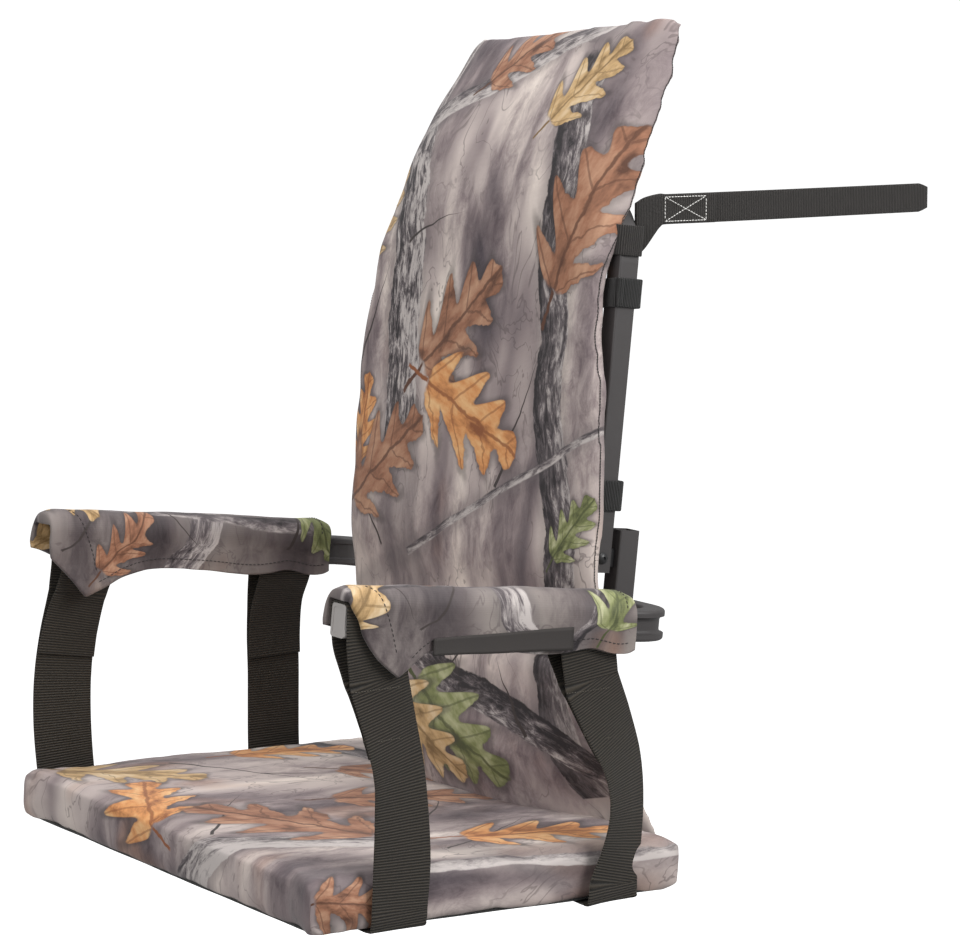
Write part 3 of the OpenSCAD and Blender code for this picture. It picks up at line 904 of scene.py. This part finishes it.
def pad_half(rim, edge, rows):
    """Outer and lining grids of half a pad's section, from its top's middle down to the flap's edge."""
    keys = smooth(edge + LOWER_EDGE, 300)
    profile = smooth(PAD_SECTION, 26)
    level, fall = profile[:-6], 14
    rim = np.array(rim)[::-1]
    first = np.append(level[:, 1], np.linspace(level[-1, 1], edge[0][1], fall + 1)[1:])
    start = np.interp(first, rim[:, 0], rim[:, 1])
    share = np.linspace(0, 1, rows)[:, None]
    along = start[None, :] + share * (PAD_REAR - start[None, :])
    low = np.interp(along[:, -1], keys[:, 0], keys[:, 1])
    down = np.linspace(0, 1, fall + 1)[1:]
    flat = np.tile(level[:, 1], (rows, 1))
    height = np.hstack([flat, level[-1, 1] + (low[:, None] - level[-1, 1]) * down])
    across = np.interp(height, profile[::-1, 1], profile[::-1, 0]) + 1.2 * MM * eased(-height, 0.01, 0.04)
    across[:, : len(level)] = level[:, 0]
    across *= 1 + 0.05 * np.sin(along * 60)
    end = np.minimum(along - start, PAD_REAR - along)
    height -= 4.0 * MM * (1 - eased(end, -0.002, 0.016)) ** 2 * eased(height, -0.02, 0.02)
    lining_x = across * 0.74
    lining_h = np.where(across > 0.0155, np.minimum(height, 0.015), 0.0158)
    return along, across, height, lining_x, lining_h


def arm_pad(where, side, material):
    """A padded sleeve folded over the rail, with two scalloped flaps."""
    facing, away = (pad_half(rim, edge, 130) for rim, edge in FLAPS[where])
    along, across, height, lining_x, lining_h = (
        np.hstack([(away[k] * (-1 if k in (1, 3) else 1))[:, :0:-1], facing[k]]) for k in range(5)
    )
    front = rail(side * ARM_X + across, along, height)
    behind = rail(side * ARM_X + lining_x, along, lining_h)
    pad = shell(f"arm_pad_{where}_cloth", front, behind)
    refine(pad)
    p = off_rail(coords(pad))
    local_x = p[:, 0] - side * ARM_X
    outside = eased(np.hypot(local_x, np.maximum(p[:, 2], 0)), 0.0145, 0.0165)
    seed = 21 if side > 0 else 27
    crease(pad, p, (30, 12, 30), 1.6 * MM, seed, outside)
    crease(pad, p, (60, 38, 45), 0.8 * MM, seed + 3, outside)
    turn = np.arctan2(local_x, 0.012 + np.maximum(p[:, 2], -0.005))
    across = side * (turn * 0.026 + np.sign(local_x) * np.maximum(0, 0.004 - p[:, 2]))
    set_uv(pad, np.stack([p[:, 1], across], axis=1))
    pad.data.materials.append(material)
    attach(pad, "frame")
    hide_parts(f"arm_pad_{where}", f"arm_foam_{where}")
    return pad


def arm_pad_seams(where, pad, side, material):
    """Rows of dark stitches above each flap's edge and along the hems at both ends."""
    rows = []
    outlines = FLAPS[where]
    for flap, (rim, edge) in zip((1, -1), outlines):
        keys = smooth(edge + LOWER_EDGE, 300)
        y = np.linspace(edge[0][0] + 0.01, -0.06, 24)
        rows.append(rail(side * ARM_X + flap * 0.0195, y, np.interp(y, keys[:, 0], keys[:, 1]) + 9 * MM))
    hem = outlines[0][0][0][1]
    over_edge = np.array([
        (0.006, 0.02, 0.029), (0.014, 0.027, 0.024), (0.019, 0.033, 0.012), (0.0195, 0.041, -0.006),
        (0.0195, 0.047, -0.024),
    ])
    rows.append(rail(*(over_edge + (side * ARM_X, hem, 0)).T))
    around = np.radians(np.linspace(-60, 60, 12))
    rows.append(rail(side * ARM_X + 0.024 * np.sin(around), -0.066, 0.002 + 0.026 * np.cos(around)))
    for number, row in enumerate(rows):
        seam = stitches(f"arm_seam_{where}_{number + 1}", pad, row, material)
        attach(seam, "frame")


def hook_strip(where, side, material):
    """The dark hook tape that shows along the lower edge of the outer flap."""
    y = np.linspace(-0.249, -0.119, 40)
    top = np.interp(y, [-0.249, -0.119], [-0.0105, 0.0005])
    low = np.interp(y, [-0.249, -0.119], [-0.0235, -0.018])
    t = np.linspace(0, 1, 8)
    h = low[:, None] + (top - low)[:, None] * t[None, :]
    x = 0.0203 + 0.0009 * np.sin(y * 90)[:, None] + 0.0012 * (1 - t[None, :]) ** 2
    place = y[:, None] * np.ones((1, len(t)))
    front = rail(side * (ARM_X + x), place, h)
    behind = rail(side * (ARM_X + x - 1.8 * MM), place, h)
    strip = shell(f"hook_strip_{where}", front, behind)
    set_uv(strip, off_rail(coords(strip))[:, [2, 1]])
    strip.data.materials.append(material)
    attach(strip, "frame")
    return strip


# ---- seat straps ----


def seat_strap(name, y, material, left, right):
    """One piece of webbing per strap: a loop sewn round each arm and a run under the cushion.

    left and right each hold the shift along Y and the turn about the vertical, evenly down the drop.
    """
    rail_z = -y * math.tan(ARM_TILT)
    seat_low = SEAT_TOP - SEAT_T - (y - SEAT_Y) * math.tan(SEAT_TILT) - 2.2 * MM
    side = SEAT_W / 2 + 2.2 * MM
    heights = np.linspace(rail_z - 0.045, seat_low + 0.015, len(left[0]))
    wrap = [
        (side - 3.2 * MM, rail_z - 0.1), (side - 4.6 * MM, rail_z - 0.078), (side - 9 * MM, rail_z - 0.052),
        (ARM_X - 9 * MM, rail_z - 0.024), (ARM_X - 11.4 * MM, rail_z - 0.004),
        (ARM_X - 11.6 * MM, rail_z + 0.008),
        (ARM_X - 8 * MM, rail_z + RAIL_H / 2 + 1.2 * MM), (ARM_X + 8 * MM, rail_z + RAIL_H / 2 + 1.2 * MM),
        (ARM_X + 11.6 * MM, rail_z + 0.008), (ARM_X + 11.4 * MM, rail_z - 0.012),
        (side - 1.5 * MM, rail_z - 0.05),
        (side - 0.6 * MM, rail_z - 0.09), (side + 0.4 * MM, -0.15), (side, seat_low + 0.018),
        (side - 1.5 * MM, seat_low + 5 * MM), (side - 7 * MM, seat_low), (side - 0.04, seat_low),
        (0.1, seat_low), (0.0, seat_low),
    ]
    half = smooth([(x, 0, z) for x, z in wrap], 420)
    full = np.vstack([half, (half * np.array([-1, 1, 1]))[-2::-1]])
    keys = smooth(np.stack([heights, *left, *right], axis=1), 90)[::-1]
    left_share = eased(full[:, 0], -0.2, 0.2)
    along_y, turn = (
        np.interp(full[:, 2], keys[:, 0], keys[:, k]) * left_share
        + np.interp(full[:, 2], keys[:, 0], keys[:, k + 2]) * (1 - left_share)
        for k in (1, 2)
    )
    turn = np.radians(turn)
    hang = eased(-(full[:, 2] - rail_z), 0.012, 0.05)
    full[:, 1] = y + along_y * hang
    tilt = -np.tan(ARM_TILT) * (1 - hang) * (full[:, 2] > rail_z - 0.05)
    flat = -math.tan(SEAT_TILT) * (full[:, 2] < seat_low + 0.01)
    wide = np.stack([-np.sin(turn * hang) * np.sign(full[:, 0]), np.cos(turn * hang), tilt + flat], axis=1)
    strap = ribbon(name, full, wide, WEB_W, WEB_T)
    strap.data.materials.append(material)
    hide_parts(f"{name.split('_')[0]}_seat_strap")
    return strap


def seat_strap_seams(name, strap, y, material):
    """Two sewn rows on each side, where the loop round the arm is closed."""
    rail_z = -y * math.tan(ARM_TILT)
    for where, side in SIDES:
        for number, drop in enumerate((0.052, 0.092)):
            out = side * (SEAT_W / 2 + 0.004)
            row = [(out, y - WEB_W / 2 + 0.004 + k * 0.0113, rail_z - drop) for k in range(5)]
            label = f"{name}_{where}_{number + 1}"
            seam = stitches(label, strap, row, material, 2.6 * MM, 1.9 * MM, 0.35 * MM)
            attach(seam, "frame")


# ---- collars, strap loops ----


def collar(name, side, h, height, roll, material):
    """A strip wrapped round the hoop's leg with its free end lapped over on the outer side."""
    thick = 2.2 * MM
    turns = np.radians(np.linspace(-40, 350, 90))
    lap = eased(turns, math.radians(318), math.radians(330)) * thick * 1.1
    x, y = (
        np.sign(part) * np.abs(part) ** 0.3 * (TUBE / 2 + gap + lap)
        for part, gap in ((np.cos(turns), 1.6 * MM), (np.sin(turns), 3.0 * MM))
    )
    line = rail(side * LEG_X + x, LEG_Y + 1.5 * MM + y, h + side * roll * x)
    piece = ribbon(name, line, np.tile(RAIL_UP, (len(line), 1)), height, thick, 0.1)
    piece.data.materials.append(material)
    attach(piece, "back")
    return piece


def collars(material):
    for level, h, height, roll in (("upper", 0.264, 0.024, 0.1), ("lower", 0.098, 0.025, 0.0)):
        made = [collar(f"{level}_collar_{where}", side, h, height, roll, material) for where, side in SIDES]
        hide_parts(f"{level}_collars")


def strap_loop(name, side, material):
    """Webbing round the hoop's bend, pinched into a doubled tab behind it."""
    cx, cy = side * (LEG_X - 0.007), LEG_Y
    turns = np.radians(np.linspace(100, 440, 80))
    c, s = np.cos(turns), np.sin(turns)
    x = np.sign(c) * np.abs(c) ** 0.4 * 0.0186
    y = np.sign(s) * np.abs(s) ** 0.5 * (TUBE / 2 + 2.9 * MM)
    ring = rail(cx + x, cy + y, LOOP_H + 0 * x)
    piece = ribbon(name, ring, np.tile(RAIL_UP, (len(ring), 1)), TREE_STRAP_W, TREE_STRAP_T, 0.06)
    piece.data.materials.append(material)
    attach(piece, "back")
    return piece


def loop_tab(name, side, far_y, thick, material):
    """The doubled webbing that narrows from the loop to where the free end or the buckle starts."""
    near = rail(side * LEG_X, LEG_Y + TUBE / 2 + 1 * MM, LOOP_H)
    x_end, z_end = (TREE_ROUTE[0][0], TAIL_Z) if side > 0 else (-LEG_X, near[2])
    half = TREE_STRAP_W / 2
    spread = 0.0225 if side > 0 else half
    start_z = near[2] + (spread - half) * 0.9
    keys = [
        (near[0], near[1], start_z, spread),
        (near[0], near[1] + 0.009, start_z + (z_end - start_z) * 0.35, spread * 0.93),
        (x_end, 0.032, z_end - 0.001, half + (spread - half) * 0.15),
        *((x_end, y, z_end, half) for y in (0.04, (0.04 + far_y) / 2, far_y)),
    ]
    line = smooth(keys, 50)
    up = np.array([(0, 0, 1.0)])
    out = unit(np.cross(np.gradient(line[:, :3], axis=0), up))
    piece = tube_along(name, line[:, :3], up * line[:, 3:], out * thick / 2, 0.06)
    piece.data.materials.append(material)
    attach(piece, "back")
    return piece


def box_stitch(strap, material):
    """White stitching that ties the doubled webbing: a box with a cross in it."""
    low_y, high_y, half = 0.037, 0.079, 0.01
    corners = [(low_y, -half), (high_y, -half), (high_y, half), (low_y, half)]
    runs = [(corners[k], corners[(k + 1) % 4]) for k in range(4)]
    runs += [(corners[0], corners[2]), (corners[1], corners[3])]
    quarters = (0, 0.25, 0.5, 0.75, 1)
    for number, (a, b) in enumerate(runs):
        row = [(0.1665, a[0] + (b[0] - a[0]) * t, TAIL_Z + a[1] + (b[1] - a[1]) * t) for t in quarters]
        seam = stitches(f"box_stitch_{number + 1}", strap, row, material, 3.0 * MM, 2.4 * MM, 0.42 * MM)
        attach(seam, "back")


# ---- studio ----


def studio():
    """A white room: a floor and a sky that the camera sees as white but that light the object softly."""
    world = bpy.data.worlds.new("studio")
    bpy.context.scene.world = world
    world.use_nodes = True
    background = world.node_tree.nodes["Background"]
    background.inputs[0].default_value = (1, 1, 1, 1)
    seen = world.node_tree.nodes.new("ShaderNodeLightPath").outputs["Is Camera Ray"]
    strength = world.node_tree.nodes.new("ShaderNodeMapRange")
    for socket, value in zip(strength.inputs, (0, 0.0, 1.0, 0.34, 1.0)):
        socket.default_value = value
    world.node_tree.links.new(seen, strength.inputs[0])
    world.node_tree.links.new(strength.outputs[0], background.inputs[1])
    g = Graph("floor", roughness=0.9, specular=0.0)
    g.shader.inputs["Emission Color"].default_value = (1, 1, 1, 1)
    g.shader.inputs["Emission Strength"].default_value = 0.78
    far = 4000
    corners = [(x * far, y * far, -0.95) for x, y in ((-1, -1), (1, -1), (1, 1), (-1, 1))]
    ground = make("floor", corners, [(0, 1, 2, 3)])
    ground.visible_diffuse = ground.visible_glossy = False
    ground.data.materials.append(g.surface((0.9, 0.9, 0.9)))
    for name, place, size, power in (
        ("key", (2.4, 0.9, 1.5), 1.5, 62),
        ("fill", (1.1, -2.6, 1.2), 2.0, 36),
        ("top", (0.0, 0.0, 2.6), 2.2, 50),
    ):
        data = bpy.data.lights.new(name, "AREA")
        data.energy, data.size = power, size
        lamp = bpy.data.objects.new(name, data)
        lamp.location = place
        lamp.rotation_mode = "QUATERNION"
        lamp.rotation_quaternion = (Vector((0, -0.15, 0.05)) - Vector(place)).to_track_quat("-Z", "Y")
        bpy.context.scene.collection.objects.link(lamp)
    bpy.context.scene.view_settings.view_transform = "Standard"


# ---- what is printed where: places on each piece's cloth, in metres ----

BACK_PRINT = {
    "trunks": [
        ((0.158, 0.16), (0.085, 0.66), 0.04, 1.5, 0.45),
        ((-0.09, 0.3), (-0.165, 0.69), 0.052, 2.3, 0.54),
        ((-0.17, 0.548), (0.105, 0.7), 0.022, 1.3, 0.55),
        ((-0.078, 0.2), (0.2, 0.335), 0.0085, 1.2, 0.54),
    ],
    "twigs": [
        ((-0.19, 0.33), (-0.135, 0.455), 0.0045), ((-0.11, 0.47), (-0.025, 0.505), 0.003),
        ((0.06, 0.27), (0.11, 0.395), 0.004), ((-0.12, 0.2), (-0.175, 0.265), 0.0034),
    ],
    "leaves": [
        ((-0.172, 0.268), (-0.158, 0.35), "orange"), ((-0.178, 0.236), (-0.06, 0.322), "brown"),
        ((0.118, 0.44), (0.162, 0.59), "brown"), ((-0.19, 0.45), (-0.148, 0.54), "ochre"),
        ((-0.06, 0.62), (0.015, 0.69), "brown"), ((0.06, 0.585), (0.118, 0.67), "ochre"),
        ((-0.072, 0.362), (0.042, 0.458), "brown"), ((-0.06, 0.352), (0.088, 0.3), "orange"),
        ((0.148, 0.222), (0.19, 0.278), "green"),
    ],
}
LUMBAR_PRINT = {
    "trunks": [
        ((0.17, 0.01), (0.12, 0.16), 0.036, 1.0, 0.46),
        ((-0.15, 0.15), (0.21, 0.03), 0.03, 1.5, 0.4),
    ],
    "twigs": [
        ((0.01, 0.125), (-0.06, 0.06), 0.003), ((0.11, 0.06), (0.06, 0.125), 0.004),
        ((-0.02, 0.15), (0.02, 0.085), 0.003),
    ],
    "leaves": [((-0.06, 0.085), (0.09, 0.01), "green"), ((-0.09, 0.07), (0.03, 0.000), "ochre")],
}
SEAT_PRINT = {
    "trunks": [
        ((0.03, -0.235), (0.185, -0.03), 0.04, 1.3, 0.62),
        ((0.236, -0.085), (0.254, 0.2), 0.013, 0.8, 0.6),
        ((-0.25, 0.1), (-0.02, 0.15), 0.03, 1.2, 0.45),
    ],
    "twigs": [
        ((-0.2, -0.06), (-0.04, 0.04), 0.004), ((-0.12, -0.01), (-0.08, 0.08), 0.003),
        ((-0.245, -0.12), (-0.18, 0.02), 0.003), ((0.12, 0.01), (0.02, 0.09), 0.0034),
        ((0.06, -0.16), (-0.06, -0.06), 0.0034), ((0.2, -0.02), (0.12, 0.12), 0.003),
    ],
    "leaves": [
        ((-0.01, -0.175), (-0.14, -0.115), "orange"), ((0.13, -0.045), (-0.03, -0.13), "brown"),
        ((-0.205, 0.01), (-0.2, 0.135), "orange"), ((0.165, 0.015), (0.205, 0.15), "orange"),
        ((0.000, -0.01), (0.05, 0.125), "brown"), ((0.262, -0.175), (0.268, -0.09), "brown"),
        ((-0.23, -0.15), (-0.12, -0.06), "ochre"), ((-0.11, 0.06), (-0.03, 0.16), "brown"),
    ],
}
ARM_PRINT = {
    "trunks": [
        ((-0.215, -0.06), (-0.15, 0.06), 0.03, 1.4, 0.55),
        ((-0.36, 0.01), (-0.05, -0.012), 0.01, 1.0, 0.46),
        ((-0.12, 0.06), (-0.04, -0.06), 0.012, 1.1, 0.4),
    ],
    "twigs": [
        ((-0.33, -0.04), (-0.26, 0.03), 0.0034), ((-0.26, 0.04), (-0.18, -0.04), 0.003),
        ((-0.1, -0.03), (-0.06, 0.04), 0.0034),
    ],
    "leaves": [
        ((-0.35, 0.05), (-0.29, -0.01), "ochre"), ((-0.085, 0.035), (-0.05, -0.045), "green"),
        ((-0.29, -0.06), (-0.24, 0.000), "brown"),
    ],
}


def metals(nodes):
    """Finishes of the CAD parts that stay as they are."""
    powder = coated("powder_coat", (0.058, 0.053, 0.053), 0.45, 1500)
    lug_steel = coated("black_steel", (0.03, 0.03, 0.031), 0.4, 1100)
    finishes = {
        powder: ["arm_rail", "socket_tubes", "back_hoop"],
        lug_steel: ["pivot_lugs", "pivot_bolts"],
        coated("cap_plastic", (0.4, 0.375, 0.36), 0.38, 700): ["end_caps"],
        coated("black_nylon", (0.02, 0.02, 0.02), 0.45, 800): ["pivot_bushes"],
        coated("zinc_steel", (0.46, 0.46, 0.47), 0.3, 600, 1.0): [
            "pivot_nuts", "buckle_frame", "buckle_pin", "buckle_cam",
        ],
        coated("spring_steel", (0.3, 0.3, 0.31), 0.32, 600, 1.0): ["buckle_spring"],
    }
    for material, names in finishes.items():
        for name in names:
            nodes[name].data.materials.clear()
            nodes[name].data.materials.append(material)


def main():
    camera()
    strap_dark = webbing("tree_strap_webbing", (0.0045, 0.004, 0.0036), (0.05, 0.044, 0.04), 1.9 * MM, 0.05)
    tree_strap(strap_dark)

    metals(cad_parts)
    thread_white = coated("white_thread", (0.78, 0.77, 0.74), 0.7, 2500)
    thread_dark = coated("dark_thread", (0.035, 0.03, 0.03), 0.7, 2500)
    thread_brown = coated("brown_thread", (0.1, 0.088, 0.072), 0.7, 2500)
    nylon_band = webbing("collar_nylon", (0.006, 0.006, 0.006), (0.022, 0.021, 0.02), 1.6 * MM)
    hook = coated("hook_tape", (0.034, 0.029, 0.027), 0.8, 1800, wear=0.35)
    backing = webbing("backing_cloth", (0.01, 0.01, 0.01), (0.035, 0.034, 0.033), 1.2 * MM)
    seat_web = webbing("seat_webbing", (0.0035, 0.0028, 0.002), (0.052, 0.042, 0.03), 2.3 * MM, 0.04)

    loop = strap_loop("tree_strap_loop_ring", 1, strap_dark)
    tab = loop_tab("tree_strap_tab", 1, 0.089, 3.6 * MM, strap_dark)
    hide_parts("tree_strap_loop")
    box_stitch(tab, thread_white)
    far_loop = strap_loop("buckle_strap_ring", -1, strap_dark)
    loop_tab("buckle_strap_tab", -1, 0.056, 3.2 * MM, strap_dark)
    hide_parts("buckle_strap")
    collars(nylon_band)

    # shade is painted light here: it brightens the same cloth on the back, the lumbar pad and the seat to stand
    # in for more light
    back_cloth = camouflage("camo_back", 1.0, **BACK_PRINT, shade=1.22)
    back_seams(upper_back_pad(back_cloth), thread_dark)
    lumbar = lower_back_pad(camouflage("camo_lumbar", 2.0, **LUMBAR_PRINT, shade=1.35, warm=0.04))
    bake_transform(lumbar)

    seat_cushion(camouflage("camo_seat", 5.0, **SEAT_PRINT, shade=1.2, warm=0.06))
    seat_base(backing)

    # shade makes the arms' cloth darker than the other pieces
    arm_cloth = camouflage("camo_arm", 9.0, **ARM_PRINT, shade=0.5)
    for where, side in SIDES:
        pad = arm_pad(where, side, arm_cloth)
        arm_pad_seams(where, pad, side, thread_dark)
        strip = hook_strip(where, side, hook)
        if side > 0:
            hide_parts("arm_strips")

    hang = {
        "front": (
            ((0.003, 0.012, 0.02, 0.022, 0.022, 0.02), (0, 8, 11, 6, 1, 3)),
            ((-0.004, -0.012, -0.017, -0.018, -0.016, -0.012), (0, 4, 8, 10, 8, 4)),
        ),
        "rear": (
            ((0.004, 0.019, 0.033, 0.038, 0.034, 0.025), (2, 9, 20, 25, 20, 8)),
            ((-0.002, -0.002, -0.001, -0.001, -0.001, 0.000), (0, 2, 2, 2, 2, 2)),
        ),
    }
    for place, (left, right) in hang.items():
        y = STRAP_Y[place]
        strap = seat_strap(f"{place}_strap", y, seat_web, left, right)
        seat_strap_seams(f"{place}_strap_seam", strap, y, thread_brown)
        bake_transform(strap)

    studio()


main()
